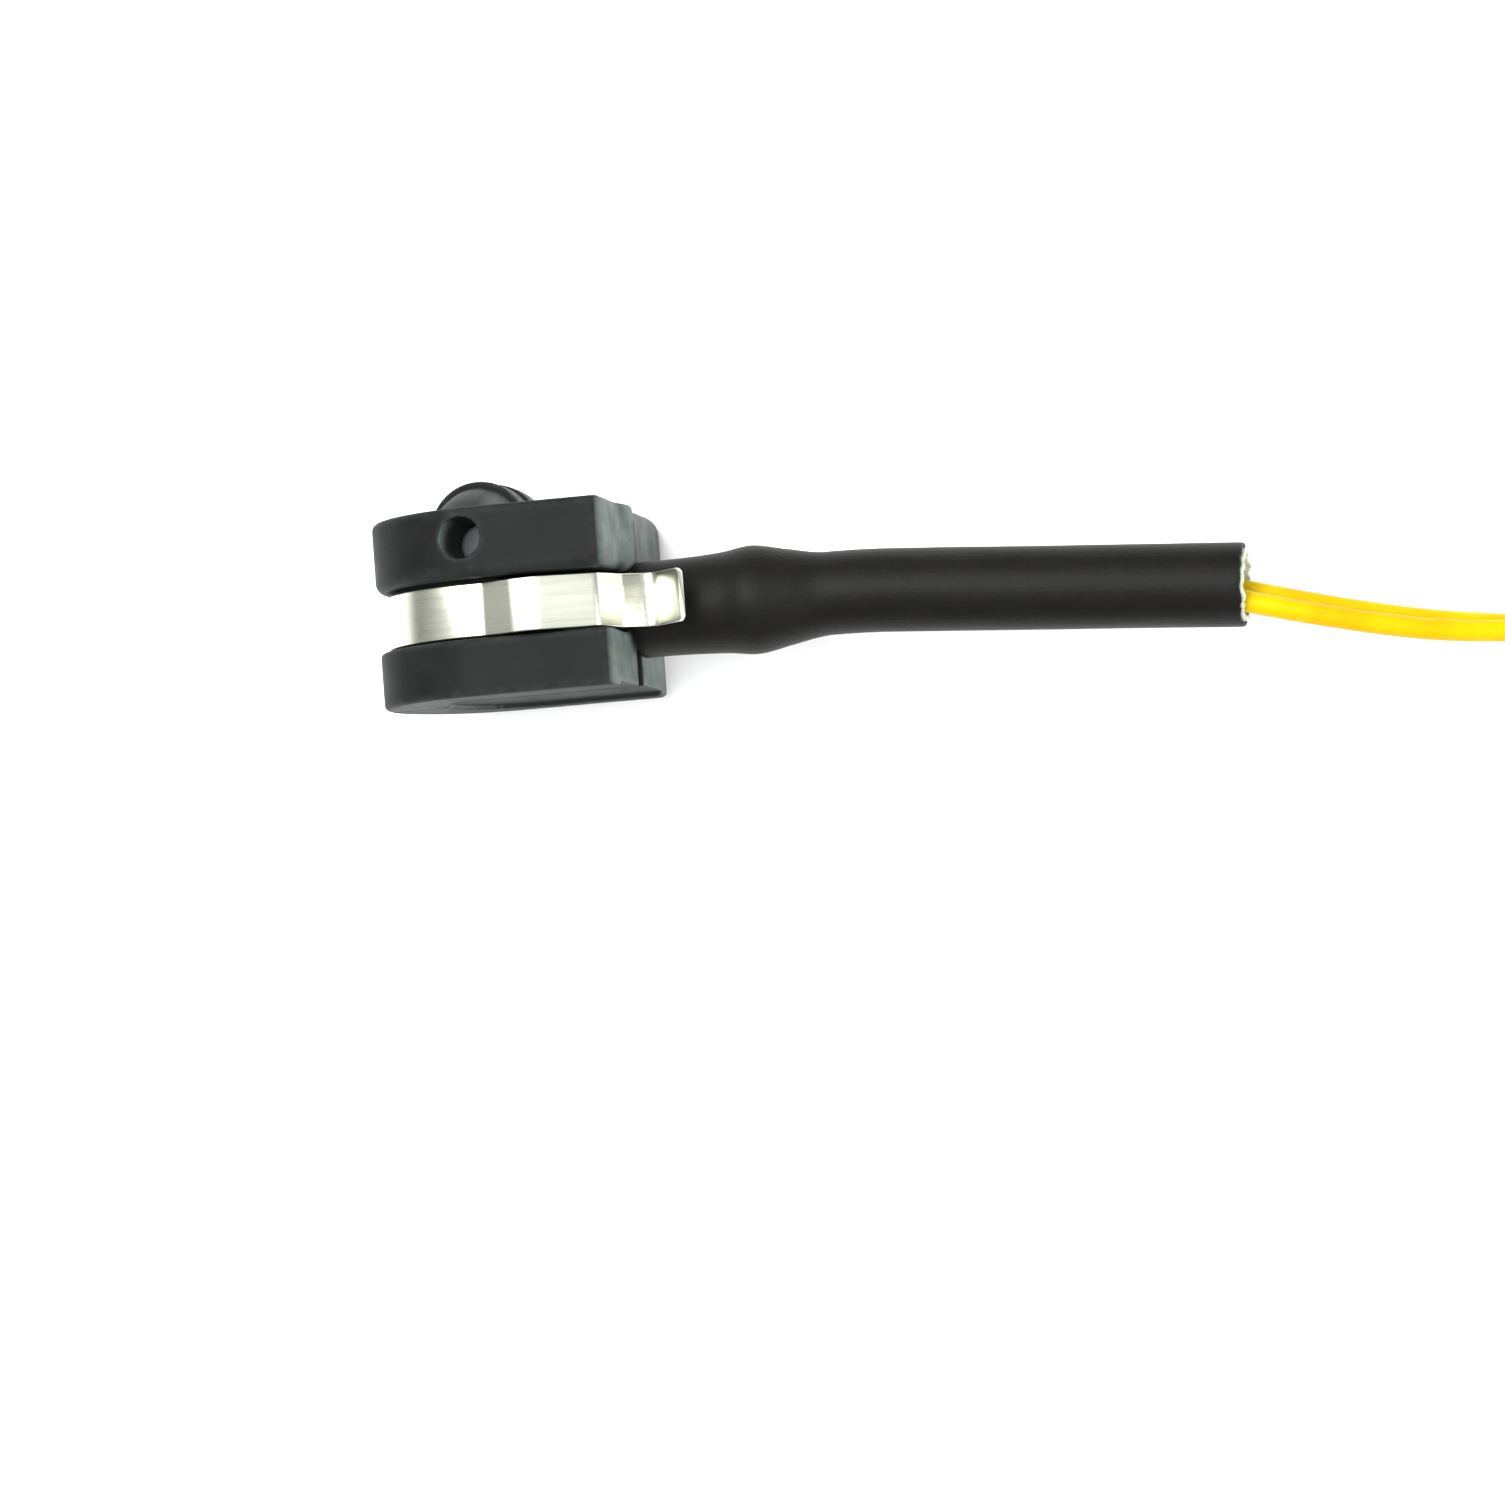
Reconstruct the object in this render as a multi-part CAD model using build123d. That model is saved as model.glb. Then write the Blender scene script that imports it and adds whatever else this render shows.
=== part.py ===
from build123d import *
import math
import os

os.makedirs("parts", exist_ok=True)

# Brake-pad wear sensor, millimetres. The row frame stands the sensor on the flat side of its head:
# +X runs along the lead towards the connector, +Y is the direction of wear, +Z is up.
# The head is drawn in its own frame and moved into place once:
# x = 0 at its end face, y = 0 in the middle of the plate groove, z = 0 on the parting plane.
PLATE = 4.8  # web of the backing plate that the groove is made for
GROOVE = PLATE + 0.1
CONTACT_FLANGE = 5.85
BACK_FLANGE = 4.75
HEAD_LENGTH = 21.5
HEAD_WIDTH = 22.0
BACK_WIDTH = 19.6

Y_FACE = GROOVE / 2 + CONTACT_FLANGE  # outer face of the contact flange
Y_BACK = -GROOVE / 2 - BACK_FLANGE  # outer face of the back flange
HALF_STEP = 0.4  # the lower half moulding stands this far past the upper one

CORE_RADIUS = 8.6
CORE_HALF = 7.2
BUMP_HEIGHT = 2.5
BLOCK_HEIGHT = 2.8
RIDGE_RADIUS = 3.3
RIDGE_ARCH = 20.5
BLOCK_RADIUS = 4.2
BLOCK_HALF = 3.4
BUMP_X = {"near": -11.9, "far": -11.5}
BORE = 3.4
BORE_X = -11.9
BORE_Y = Y_FACE - 2.5
INSULATOR_HALF = 3.0
PIN_PLACES = ((-17.0, 4.6), (-3.2, 5.4))  # locating pins of the far half, in x and y

LEAD = 1.8
CONDUCTOR = 1.1
LEAD_PITCH = 1.2  # half the distance between the two leads in the neck
LOOP_WIRE = 0.9
LOOP_HALF = 2.2
NECK_Y = -0.55
NECK_END = 13.5

SLEEVE_WALL = 0.45
LINER_WALL = 0.55
SLEEVE_START = 0.5
SLEEVE_OD = 6.9
SLEEVE_ROUND_X = 16.5
SLEEVE_TURN = 4.3  # degrees
SLEEVE_BEND = 70.0
SLEEVE_TIP_X = 51.05

STRIP = 0.45
STRIP_WIDTH = 4.4
STRIP_Y = -0.1
BOW_RADIUS = 9.0
BOW_X = -11.5

# The origin is under the middle of the sensor without its leads and plug.
HEAD_AT = ((HEAD_LENGTH - SLEEVE_TIP_X) / 2, -(Y_FACE + BLOCK_HEIGHT + Y_BACK) / 2, HEAD_WIDTH / 2)

PLUG_AT = (148.0, -3.2, 0.0)
PLUG_HALF = 7.5
PLUG_HEIGHT = 12.0
PLUG_LONG = 26.0
NOSE_FROM = 19.5
WAY_HALF = 3.0  # half the pitch of the two terminals
WAY_Z = 6.0
LATCH_X = 13.0
LATCH_Z = 13.6

parts = {}


def keep(name, shape):
    """Name a finished sub-part, write its STEP file and report it."""
    shape.label = name
    parts[name] = shape
    export_step(shape, f"parts/{name}.step")
    print(f"{name:22s} solids {len(shape.solids())} volume {shape.volume:9.2f}")


def in_head(shape):
    return Pos(*HEAD_AT) * shape


def in_plug(shape):
    return Pos(*PLUG_AT) * shape


def box(x0, x1, y0, y1, z0, z1):
    centre = Pos((x0 + x1) / 2, (y0 + y1) / 2, (z0 + z1) / 2)
    return centre * Box(x1 - x0, y1 - y0, z1 - z0)


def rod_x(x0, x1, y, z, radius):
    return Pos((x0 + x1) / 2, y, z) * Rot(0, 90, 0) * Cylinder(radius, x1 - x0)


def rod_y(x, y0, y1, z, radius):
    return Pos(x, (y0 + y1) / 2, z) * Rot(90, 0, 0) * Cylinder(radius, y1 - y0)


def rod_z(x, y, z0, z1, radius):
    return Pos(x, y, (z0 + z1) / 2) * Cylinder(radius, z1 - z0)


def slab(outline, y0, y1):
    """A plan outline, drawn in x and z, given its thickness along y."""
    return Pos(0, y0, 0) * extrude(Plane.XZ * outline, amount=y0 - y1)


def d_outline(length, half, end_x):
    """The D of a flange: round at the far end, square at the end face, with small corners."""
    flat = Pos((end_x - length + half) / 2, 0) * Rectangle(length - half + end_x, 2 * half)
    corners = fillet(flat.vertices().group_by(Axis.X)[-1], 0.8)
    return corners + Pos(half - length, 0) * Circle(half)


def flange(half, y0, y1, end_x, inner_edge, outer_edge):
    """One flange with its groove-side and outer perimeter edges rounded."""
    body = slab(d_outline(HEAD_LENGTH, half, end_x), y0, y1)
    low, high = (inner_edge, outer_edge) if y0 > 0 else (outer_edge, inner_edge)
    body = fillet(body.edges().group_by(Axis.Y)[0], low)
    return fillet(body.edges().group_by(Axis.Y)[-1], high)


def ridge(x):
    """The arched contact ridge that runs across the head, and the block in its middle."""
    arch = Pos(x, Y_FACE + BUMP_HEIGHT - RIDGE_ARCH, 0) * Rot(0, 90, 0)
    ring = arch * Torus(RIDGE_ARCH - RIDGE_RADIUS, RIDGE_RADIUS)
    above = box(x - 5, x + 5, Y_FACE - 1.2, Y_FACE + 5, -10.4, 10.4)
    axis_y = Y_FACE + BLOCK_HEIGHT - BLOCK_RADIUS
    block = rod_z(x, axis_y, -BLOCK_HALF, BLOCK_HALF, BLOCK_RADIUS)
    block = fillet(block.edges().filter_by(GeomType.CIRCLE), 0.4)
    return (ring & above) + (block & above)


def core():
    """The web between the flanges, round where the clip wraps it and narrow beside its legs."""
    drum = Pos(BOW_X, 0) * Circle(CORE_RADIUS)
    drum = drum & (Pos(BOW_X - 5, 0) * Rectangle(14, 2 * CORE_RADIUS))
    taper = Polygon(
        (-10.0, -CORE_HALF),
        (-4.5, -CORE_HALF),
        (-1.2, -3.6),
        (-1.2, 3.6),
        (-4.5, CORE_HALF),
        (-10.0, CORE_HALF),
        align=None,
    )
    return slab(drum + taper, -GROOVE / 2, GROOVE / 2)


def section(x, half_y, half_z, z, inset):
    """One oval section of the sleeve, shrunk by inset."""
    plane = Plane(origin=(x, NECK_Y, z), x_dir=(0, 1, 0), z_dir=(1, 0, 0))
    return plane * Ellipse(half_y - inset, half_z - inset)


def swelling(inset):
    """The sleeve's stretch over the neck and its barb, solid."""
    stations = (
        (SLEEVE_START, 3.98, 3.7, 0.0),
        (4.4, 4.02, 3.7, 0.0),
        (7.8, 4.2, 3.85, 0.1),
        (10.4, 4.5, 4.15, 0.3),
        (13.2, 3.98, 3.85, 0.15),
        (SLEEVE_ROUND_X, SLEEVE_OD / 2, SLEEVE_OD / 2, 0.0),
    )
    return loft([section(x, hy, hz, z, inset) for x, hy, hz, z in stations])


def sleeve_line():
    """The centre line of the sleeve's round stretch: a slight bend and a straight run."""
    turn = math.radians(SLEEVE_TURN)
    centre = (SLEEVE_ROUND_X, NECK_Y - SLEEVE_BEND, 0)
    bend = CenterArc(centre, SLEEVE_BEND, 90, -SLEEVE_TURN)
    tip_x = SLEEVE_TIP_X - SLEEVE_OD / 2 * math.sin(turn)
    run = (tip_x - (bend @ 1).X) / math.cos(turn)
    heading = Vector(math.cos(turn), -math.sin(turn), 0)
    tip = (bend @ 1) + heading * run
    return Curve() + [bend, Line(bend @ 1, tip)], tip


SLEEVE_LINE, SLEEVE_TIP = sleeve_line()


def sleeve_solid(inset):
    """The whole sleeve as one bar: its swelling, then the swelling's end face swept along."""
    swollen = swelling(inset)
    end_face = swollen.faces().sort_by(Axis.X)[-1]
    return swollen + sweep(end_face, path=SLEEVE_LINE)


def tube(points, radii, radius):
    """A round bar along straight runs joined by tangent arcs."""
    line = FilletPolyline(*points, radius=radii)
    start = Plane(origin=line @ 0, z_dir=line % 0)
    return sweep(start * Circle(radius), path=line)


def strip(points, radii):
    """Spring strip along a line drawn in x and z, standing across the groove."""
    line = FilletPolyline(*points, radius=radii)
    outline = Plane.XZ * trace(line, STRIP)
    return Pos(0, STRIP_Y - STRIP_WIDTH / 2, 0) * extrude(outline, amount=-STRIP_WIDTH)


# ---------------------------------------------------------------- contact loop and lead ends
loop_side = [(-6.0, 0, LEAD_PITCH), (-8.6, 0, LEAD_PITCH), (BORE_X, 0, LOOP_HALF)]
loop_top = (BORE_X, Y_FACE + 1.4, LOOP_HALF)
loop_points = loop_side + [loop_top]
loop_points += [(x, y, -z) for x, y, z in reversed(loop_points)]
contact_loop = tube(loop_points, [1.5, 1.4, 1.4, 1.4, 1.4, 1.5], LOOP_WIRE / 2)
keep("contact_loop", in_head(contact_loop))

insulator = rod_z(BORE_X, BORE_Y, -INSULATOR_HALF, INSULATOR_HALF, BORE / 2)
insulator = chamfer(insulator.edges().filter_by(GeomType.CIRCLE), 0.25)
insulator -= contact_loop
keep("contact_insulator", in_head(insulator))

for side, sign in (("a", 1), ("b", -1)):
    z = sign * LEAD_PITCH
    sleeve = rod_x(-8.4, -3.4, 0, z, 1.0)
    ferrule = chamfer(sleeve.edges().filter_by(GeomType.CIRCLE), 0.15)
    ferrule -= rod_x(-9, -3, 0, z, CONDUCTOR / 2)
    keep(f"crimp_ferrule_{side}", in_head(ferrule))
    stub = rod_x(-5.9, -2.2, 0, z, CONDUCTOR / 2)
    keep(f"lead_{side}_conductor", in_head(stub))

# ---------------------------------------------------------------- head mouldings
cavity = box(-9.2, -2.0, -1.3, 1.3, -2.6, 2.6)
cavity += box(BORE_X - 0.6, BORE_X + 0.6, -0.7, Y_FACE + 2.0, -2.8, 2.8)
cavity += box(BORE_X - 0.6, -9.0, -0.7, 0.7, -2.8, 2.8)
cross_bore = rod_z(BORE_X, BORE_Y, -12, 12, BORE / 2 + 0.02)
lead_ways = rod_x(-2.2, NECK_END + 1, 0, LEAD_PITCH, LEAD / 2 + 0.02)
lead_ways += rod_x(-2.2, NECK_END + 1, 0, -LEAD_PITCH, LEAD / 2 + 0.02)
neck_bore = swelling(SLEEVE_WALL + LINER_WALL + 0.03)
neck = neck_bore & box(0, NECK_END, -9, 9, -9, 9)
collar_plane = Plane(origin=(-2.0, NECK_Y, 0), x_dir=(0, 1, 0), z_dir=(1, 0, 0))
neck += extrude(collar_plane * Ellipse(3.2, 3.1), amount=SLEEVE_START + 2.0)

halves = {
    "near": (0.0, 0.5, box(-30, 30, -20, 20, 0.0, 20)),
    "far": (HALF_STEP, 1.6, box(-30, 30, -20, 20, -20, 0.0)),
}
for side, (end_x, outer_edge, room) in halves.items():
    wide = flange(HEAD_WIDTH / 2, GROOVE / 2, Y_FACE, end_x, 0.9, outer_edge)
    back = flange(BACK_WIDTH / 2, Y_BACK, -GROOVE / 2, end_x, 0.3, 0.4)
    recess = slab(d_outline(HEAD_LENGTH - 5.2, BACK_WIDTH / 2 - 2.6, 2), Y_BACK - 1, Y_BACK + 0.4)
    half = wide + (back - recess) + core() + ridge(BUMP_X[side]) + neck
    half -= cavity + cross_bore + lead_ways
    half = half & room
    half = max(half.solids(), key=lambda solid: solid.volume)
    for x, y in PIN_PLACES:
        if side == "near":
            half -= rod_z(x, y, -0.1, 1.8, 0.85)
        else:
            half += rod_z(x, y, -2.0, 1.6, 0.8)
    keep(f"body_half_{side}", in_head(half))

neck_seal = rod_x(NECK_END, NECK_END + 1.5, NECK_Y, 0, 2.35)
neck_seal -= lead_ways
seal_holes = rod_x(NECK_END - 1, NECK_END + 3, 0, LEAD_PITCH, LEAD / 2)
seal_holes += rod_x(NECK_END - 1, NECK_END + 3, 0, -LEAD_PITCH, LEAD / 2)
neck_seal -= seal_holes
keep("neck_seal", in_head(neck_seal))

# ---------------------------------------------------------------- sleeve and liner
sleeve_outer = sleeve_solid(0.0)
sleeve_inner = sleeve_solid(SLEEVE_WALL)
liner_inner = sleeve_solid(SLEEVE_WALL + LINER_WALL)
keep("outer_sleeve", in_head(sleeve_outer - sleeve_inner))
keep("inner_liner", in_head(sleeve_inner - liner_inner))

# ---------------------------------------------------------------- spring clip
bow_arc = CenterArc((BOW_X, 0, 0), BOW_RADIUS, 86, 188)
bow = extrude(Plane.XZ * trace(bow_arc, STRIP), amount=-STRIP_WIDTH)
keep("clip_bow", in_head(Pos(0, STRIP_Y - STRIP_WIDTH / 2, 0) * bow))

rear_line = [(-10.25, 9.1), (-8.0, 10.2), (-6.35, 10.5)]
front_line = [(-5.95, 10.44), (-1.2, 9.0), (0.1, 5.8), (2.4, 3.8), (5.45, 6.7)]
for side, sign in (("near", 1), ("far", -1)):
    rear = strip([(x, sign * u) for x, u in rear_line], [1.0])
    front = strip([(x, sign * u) for x, u in front_line], [0.5, 1.6, 1.5])
    keep(f"clip_{side}_rear", in_head(rear))
    keep(f"clip_{side}_front", in_head(front))

# ---------------------------------------------------------------- leads
# Inside the sleeve each lead keeps to the neck's height, then settles to one side of the bore.
EXIT_TURN = math.radians(16)
exit_way = Vector(math.cos(EXIT_TURN), -math.sin(EXIT_TURN), -0.06).normalized()
exits = {
    "a": Vector(SLEEVE_TIP.X, SLEEVE_TIP.Y - 1.4, 0.55),
    "b": Vector(SLEEVE_TIP.X, SLEEVE_TIP.Y - 0.45, -1.2),
}
for side, sign in (("a", 1), ("b", -1)):
    end = exits[side]
    middle = (26.0, NECK_Y - 0.15, sign * 1.1)
    start = (-2.2, 0, sign * LEAD_PITCH)
    inside = [start, (17.5, 0, sign * LEAD_PITCH), middle, end - exit_way * 7, end]
    inner = tube(inside, [25, 60, 30], LEAD / 2)
    keep(f"lead_{side}_inner", in_head(inner))

# Each free lead leaves the sleeve, comes down to the surface, lies on it and rises to its way in the plug.
origin = Vector(*HEAD_AT)
routes = {
    "a": [
        exits["a"] + origin,
        exits["a"] + origin + exit_way * 11,
        (58.0, -10.6, 7.5),
        (69.0, -9.6, 3.5),
        (82.5, -8.0, LEAD / 2),
        (97.0, -6.9, LEAD / 2),
        (111.0, -3.6, LEAD / 2),
        (124.5, -0.9, 3.2),
        (136.5, PLUG_AT[1] + WAY_HALF, WAY_Z),
        (PLUG_AT[0], PLUG_AT[1] + WAY_HALF, WAY_Z),
    ],
    "b": [
        exits["b"] + origin,
        exits["b"] + origin + exit_way * 11,
        (58.0, -9.9, 5.2),
        (69.5, -10.3, 1.1),
        (82.5, -10.1, LEAD / 2),
        (97.0, -10.2, LEAD / 2),
        (111.0, -7.6, LEAD / 2),
        (124.5, -6.4, 3.0),
        (136.5, PLUG_AT[1] - WAY_HALF, WAY_Z),
        (PLUG_AT[0], PLUG_AT[1] - WAY_HALF, WAY_Z),
    ],
}
for side, route in routes.items():
    points = [Vector(*p) if isinstance(p, tuple) else p for p in route]
    runs = [(b - a) for a, b in zip(points, points[1:])]
    radii = []
    for a, b in zip(runs, runs[1:]):
        half_turn = math.radians(a.get_angle(b) / 2)
        radii.append(0.45 * min(a.length, b.length) / math.tan(half_turn))
    line = FilletPolyline(*points, radius=radii)
    free = tube(points, radii, LEAD / 2)
    ideal = line.length * math.pi * (LEAD / 2) ** 2
    print(f"lead {side}: length {line.length:.1f}, volume against section x length {free.volume / ideal:.4f}")
    print("  arc radii", [round(r, 1) for r in radii])
    keep(f"lead_{side}_free", free)

# ---------------------------------------------------------------- plug
shell = box(2, PLUG_LONG, -PLUG_HALF, PLUG_HALF, 0, PLUG_HEIGHT)
shell = fillet(shell.edges().filter_by(Axis.X), 1.2)
around = box(NOSE_FROM, PLUG_LONG + 1, -9, 9, -1, 14)
nose = box(NOSE_FROM - 1, PLUG_LONG + 1, -6.2, 6.2, 1.3, 10.7)
nose = fillet(nose.edges().filter_by(Axis.X), 1.0)
shell -= around - nose
for y in (-WAY_HALF, WAY_HALF):
    shell -= rod_x(1, 9, y, WAY_Z, 2.6)
    shell -= box(8, 25, y - 1.6, y + 1.6, WAY_Z - 1.6, WAY_Z + 1.6)
    shell -= box(24, 27, y - 1.4, y + 1.4, WAY_Z - 0.5, WAY_Z + 0.5)
shell -= box(11.9, 15.1, -5.6, 8, 7.5, 8.9)
lugs = box(11.2, 14.8, -5.6, -4.2, 11, 15) + box(11.2, 14.8, 4.2, 5.6, 11, 15)
lugs = fillet(lugs.edges().filter_by(Axis.Y).group_by(Axis.Z)[-1], 1.5)
shell += lugs
shell -= rod_y(LATCH_X, -6, 6, LATCH_Z, 0.8)
for z in (3.5, 6.0, 8.5):
    for side in (-1, 1):
        shell += box(4, 9, side * PLUG_HALF - 0.3, side * PLUG_HALF + 0.3, z - 0.4, z + 0.4)
keep("connector_housing", in_plug(shell))

ring = box(NOSE_FROM, NOSE_FROM + 2.4, -7.1, 7.1, 0.4, 11.6)
ring = fillet(ring.edges().filter_by(Axis.X), 1.8)
ring -= box(NOSE_FROM - 1, NOSE_FROM + 3, -6.2, 6.2, 1.3, 10.7)
keep("interface_seal", in_plug(ring))

lever = box(5.0, 23.6, -3.6, 3.6, 12.9, 14.2)
lever += box(5.0, 8.0, -3.6, 3.6, 14.0, 14.9)
lever -= box(15.5, 20.5, -1.8, 1.8, 12, 15)
lever = fillet(lever.edges().filter_by(Axis.Y).group_by(Axis.Z)[-1], 0.4)
lever += box(21.8, 23.6, -3.6, 3.6, 12.1, 13.0)
lever += rod_y(LATCH_X, -5.4, 5.4, LATCH_Z, 0.75)
keep("latch_lever", in_plug(lever))

lock = box(12.0, 15.0, -5.0, 7.5, 7.6, 8.8) + box(11.6, 15.4, 7.5, 8.3, 7.2, 9.2)
keep("secondary_lock", in_plug(lock))

retainer = box(0, 2, -7.2, 7.2, 0.3, 11.7)
retainer = fillet(retainer.edges().filter_by(Axis.X), 1.2)
retainer += rod_x(1, 3.4, WAY_HALF, WAY_Z, 2.5) + rod_x(1, 3.4, -WAY_HALF, WAY_Z, 2.5)
for side, y in (("a", WAY_HALF), ("b", -WAY_HALF)):
    retainer -= rod_x(-1, 4, y, WAY_Z, LEAD / 2 + 0.2)
    tail = rod_x(0, 9.3, y, WAY_Z, LEAD / 2) + rod_x(9, 12.4, y, WAY_Z, CONDUCTOR / 2)
    keep(f"lead_{side}_tail", in_plug(tail))
    seal = rod_x(3.5, 8.6, y, WAY_Z, 2.25)
    for rib_x in (4.2, 6.05, 7.9):
        rib = Pos(rib_x, y, WAY_Z) * Rot(0, 90, 0) * Torus(2.0, 0.55)
        seal += rib
    seal -= rod_x(3, 9, y, WAY_Z, LEAD / 2)
    keep(f"wire_seal_{side}", in_plug(seal))
    barrel = rod_x(9.4, 13.2, y, WAY_Z, 1.3)
    socket = box(13.0, 24.4, y - 1.35, y + 1.35, WAY_Z - 1.35, WAY_Z + 1.35)
    terminal = barrel + socket - rod_x(9, 12.6, y, WAY_Z, CONDUCTOR / 2)
    terminal -= box(15.0, 25, y - 1.1, y + 1.1, WAY_Z - 0.45, WAY_Z + 0.45)
    keep(f"terminal_{side}", in_plug(terminal))
keep("connector_retainer", in_plug(retainer))

rigid = Compound([s for n, s in parts.items() if n.startswith(("body", "clip", "outer_sleeve"))])
room = rigid.bounding_box()
print("without the leads and plug:", tuple(room.min), tuple(room.max))
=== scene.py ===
"""Brake-pad wear sensor: moulded head, spring clip, sleeved neck, twin leads and sealed plug."""

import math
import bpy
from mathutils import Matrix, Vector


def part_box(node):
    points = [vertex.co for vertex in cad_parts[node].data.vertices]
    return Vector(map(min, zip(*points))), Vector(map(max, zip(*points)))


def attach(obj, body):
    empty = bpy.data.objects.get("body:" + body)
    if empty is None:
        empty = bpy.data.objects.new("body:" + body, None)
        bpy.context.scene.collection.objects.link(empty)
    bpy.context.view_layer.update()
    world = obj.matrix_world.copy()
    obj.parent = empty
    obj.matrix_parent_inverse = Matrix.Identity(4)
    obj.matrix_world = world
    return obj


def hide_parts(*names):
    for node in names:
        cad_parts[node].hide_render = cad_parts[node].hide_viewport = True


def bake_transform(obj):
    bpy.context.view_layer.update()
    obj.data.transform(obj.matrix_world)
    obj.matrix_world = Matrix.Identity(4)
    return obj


bl_info = {
    "name": "Brake Pad Wear Sensor",
    "version": (1, 0, 0),
    "blender": (4, 5, 0),
    "location": "View3D > Sidebar > Wear Sensor",
    "description": "Builds a clip-in brake-pad wear sensor around its CAD frame",
    "category": "Object",
}

import bmesh
import bpy
import numpy as np
from bpy.props import FloatProperty, FloatVectorProperty, IntProperty, PointerProperty
from mathutils import Matrix, Vector, noise

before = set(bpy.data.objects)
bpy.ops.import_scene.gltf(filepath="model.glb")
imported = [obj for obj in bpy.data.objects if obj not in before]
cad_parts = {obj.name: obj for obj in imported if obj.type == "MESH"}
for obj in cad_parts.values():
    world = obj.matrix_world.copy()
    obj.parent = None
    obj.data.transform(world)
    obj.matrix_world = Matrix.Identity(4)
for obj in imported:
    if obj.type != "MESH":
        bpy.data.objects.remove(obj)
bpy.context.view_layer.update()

MM = 0.001
# The head's own frame, in millimetres: x = 0 at its end face, y = 0 in mid groove, z = 0 on the
# parting plane. HEAD_AT is its place in the shared frame.
HEAD_AT = Vector((-14.775, -1.95, 11.0)) * MM
# The sleeve starts at the head, is round from ROUND_FROM on, bends once and ends at TIP_X.
NECK_Y = -0.55
SLEEVE_START = 0.5
SLEEVE_TURN = math.radians(4.3)
SLEEVE_BEND = 70.0
SLEEVE_RADIUS = 3.45
ROUND_FROM = 16.5
TIP_X = 50.791
# Sleeve sections along the head's x: half height, half width and sideways shift over the neck.
STATIONS = (
    (0.5, 3.98, 3.70, 0.0),
    (4.4, 4.02, 3.70, 0.0),
    (7.8, 4.20, 3.85, 0.1),
    (10.4, 4.50, 4.15, 0.3),
    (13.2, 3.98, 3.85, 0.15),
    (16.5, 3.45, 3.45, 0.0),
)
# Free leads in the shared frame, in millimetres, from the sleeve's mouth to the plug's back.
LEAD_ROUTES = {
    "a": (
        (36.016, -6.281, 11.55),
        (46.571, -9.307, 10.891),
        (58.0, -10.6, 7.5),
        (69.0, -9.6, 3.5),
        (82.5, -8.0, 0.9),
        (97.0, -6.9, 0.9),
        (111.0, -3.6, 0.9),
        (124.5, -0.9, 3.2),
        (136.5, -0.2, 6.0),
        (148.0, -0.2, 6.0),
    ),
    "b": (
        (36.016, -5.331, 9.8),
        (46.571, -8.357, 9.141),
        (58.0, -9.9, 5.2),
        (69.5, -10.3, 1.1),
        (82.5, -10.1, 0.9),
        (97.0, -10.2, 0.9),
        (111.0, -7.6, 0.9),
        (124.5, -6.4, 3.0),
        (136.5, -6.2, 6.0),
        (148.0, -6.2, 6.0),
    ),
}


# ------------------------------------------------------------------ sizes and colours
def millimetres(name, text, default, low=0.0, high=100.0):
    """A length that a user can change, in millimetres."""
    return FloatProperty(name=name, description=text, default=default, min=low, max=high)


def colour(name, text, default):
    """A colour that a user can change, in linear values."""
    return FloatVectorProperty(
        name=name, description=text, default=default, subtype="COLOR", size=3, min=0, max=1
    )


class HeadSettings(bpy.types.PropertyGroup):
    """How the head is skinned, and its colours."""

    voxel: millimetres("Skin step", "Grid of the moulded skin, in millimetres", 0.15, 0.1, 1.0)
    soften: IntProperty(name="Softening", description="Smoothing passes over edges", default=5, min=0)
    plastic: colour("Plastic", "Moulded thermoset of the head", (0.0068, 0.0074, 0.007))
    worn: colour("Worn plastic", "Where edges are rubbed paler", (0.03, 0.034, 0.032))
    # Paler tone for faces turned to the end and back: partly grey dust, partly painted light from the side
    # lamp.
    dust_and_painted_light: colour("Dust", "Grey dust and rubbing on the end and back faces", (0.135, 0.163, 0.15))
    insulator: colour("Insulator", "Core seen down the cross bore", (0.32, 0.34, 0.36))


class ClipSettings(bpy.types.PropertyGroup):
    """The spring strip."""

    thickness: millimetres("Thickness", "Strip thickness, in millimetres", 0.45, 0.1, 2.0)
    width: millimetres("Width", "Strip width, in millimetres", 4.4, 1.0, 20.0)
    edge: millimetres("Edge radius", "Rounding of the sheared edges, in millimetres", 0.1, 0.01, 0.2)
    steel: colour("Steel", "Bright rolled stainless strip", (0.62, 0.63, 0.53))


class SleeveSettings(bpy.types.PropertyGroup):
    """The coated sleeve, its liner and the fibres at the cut."""

    wall: millimetres("Coat", "Wall of the black coating, in millimetres", 0.45, 0.1, 2.0)
    liner: millimetres("Liner", "Wall of the glass-fibre liner, in millimetres", 0.55, 0.1, 2.0)
    uneven: millimetres("Unevenness", "Waviness of the soft wall, in millimetres", 0.025, 0.0, 0.5)
    fibres: IntProperty(name="Fibres", description="Loose ends round the cut", default=90, min=0)
    coating: colour("Coating", "Satin black coating", (0.0045, 0.0043, 0.0034))
    braid: colour("Braid", "Pale glass braid", (0.52, 0.58, 0.44))


class LeadSettings(bpy.types.PropertyGroup):
    """The two leads."""

    diameter: millimetres("Diameter", "Across one lead, in millimetres", 1.8, 0.5, 10.0)
    yellow: colour("Insulation", "Glossy yellow insulation", (0.6, 0.45, 0.001))


class PlugSettings(bpy.types.PropertyGroup):
    """How the plug is skinned, and its colours."""

    voxel: millimetres("Skin step", "Grid of the moulded skin, in millimetres", 0.2, 0.1, 1.0)
    nylon: colour("Nylon", "Glass-filled nylon housing", (0.020, 0.020, 0.022))
    seal: colour("Seal", "Silicone seals", (0.05, 0.16, 0.36))
    lock: colour("Lock", "Secondary lock", (0.48, 0.49, 0.48))


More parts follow.
